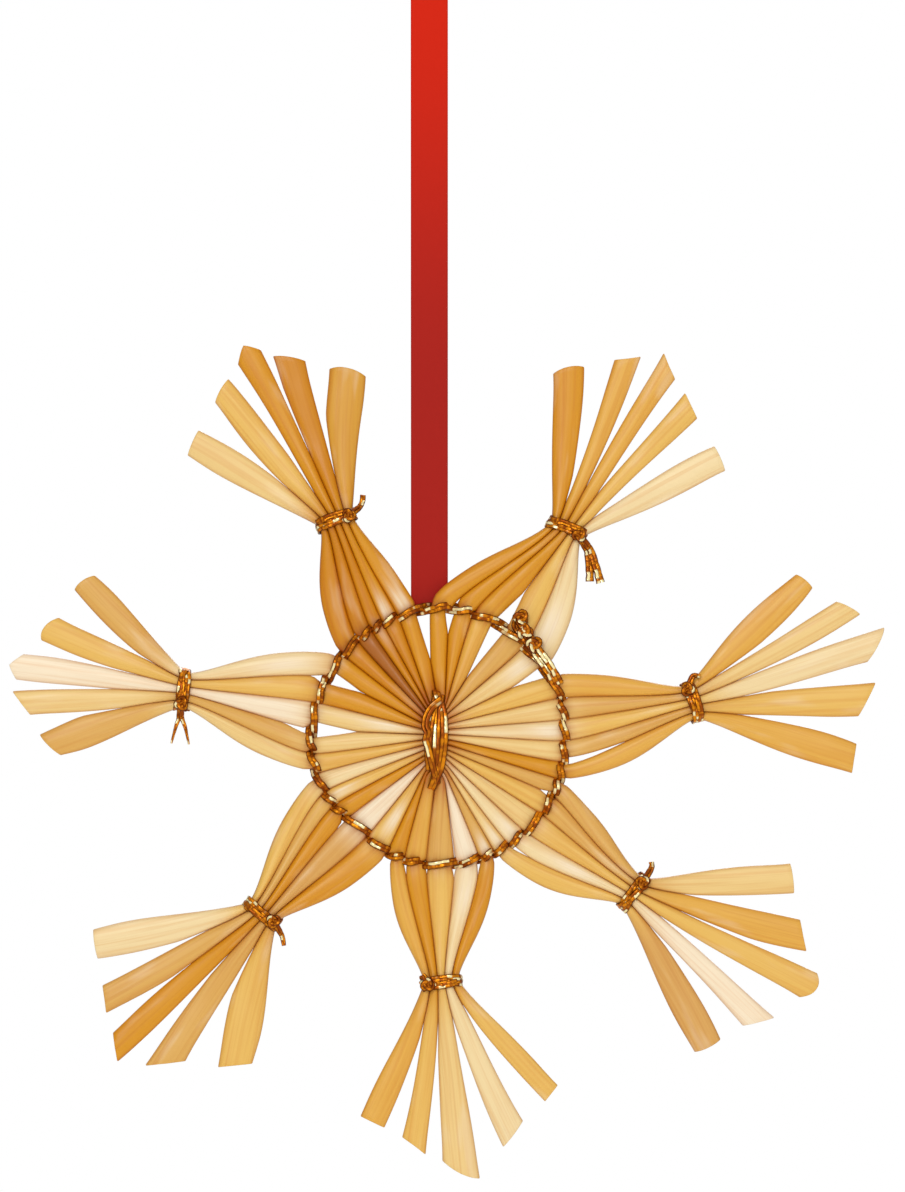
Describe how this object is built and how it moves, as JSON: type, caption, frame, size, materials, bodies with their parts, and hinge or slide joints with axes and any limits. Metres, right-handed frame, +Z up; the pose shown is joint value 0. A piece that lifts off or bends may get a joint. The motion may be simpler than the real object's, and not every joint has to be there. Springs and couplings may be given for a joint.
{
  "type": "straw star ornament",
  "caption": "Hanging rosette star of flattened straws, bound at the middle, woven with a ring of gold thread, tied into fanned rays and hung on a narrow ribbon loop.",
  "frame": {"origin": "inside top of the ribbon loop, where a hook or twig carries it; the star hangs below, its thread ring centred at X 1.2 mm, Y 0, Z -84 mm", "axes": "+X to the right across the star seen from its front, -Y towards the viewer, +Z up"},
  "size_m": [0.0952, 0.0063, 0.1324],
  "materials": {
    "straw": "satin natural straw, uneven cream to brown",
    "gold_thread": "twisted metallic thread",
    "ribbon": "satin weave"
  },
  "bodies": {
    "root": {"straw_01": "straw", "straw_02": "straw", "straw_03": "straw", "straw_04": "straw", "straw_05": "straw", "straw_06": "straw", "straw_07": "straw", "straw_08": "straw", "straw_09": "straw", "straw_10": "straw", "straw_11": "straw", "straw_12": "straw", "straw_13": "straw", "straw_14": "straw", "straw_15": "straw", "straw_16": "straw", "straw_17": "straw", "straw_18": "straw", "ring_thread": "gold_thread", "tie_upper_right": "gold_thread", "tie_right": "gold_thread", "tie_lower_right": "gold_thread", "tie_bottom": "gold_thread", "tie_lower_left": "gold_thread", "tie_left": "gold_thread", "tie_upper_left": "gold_thread", "centre_binding": "gold_thread", "ribbon": "ribbon"}
  },
  "joints": []
}
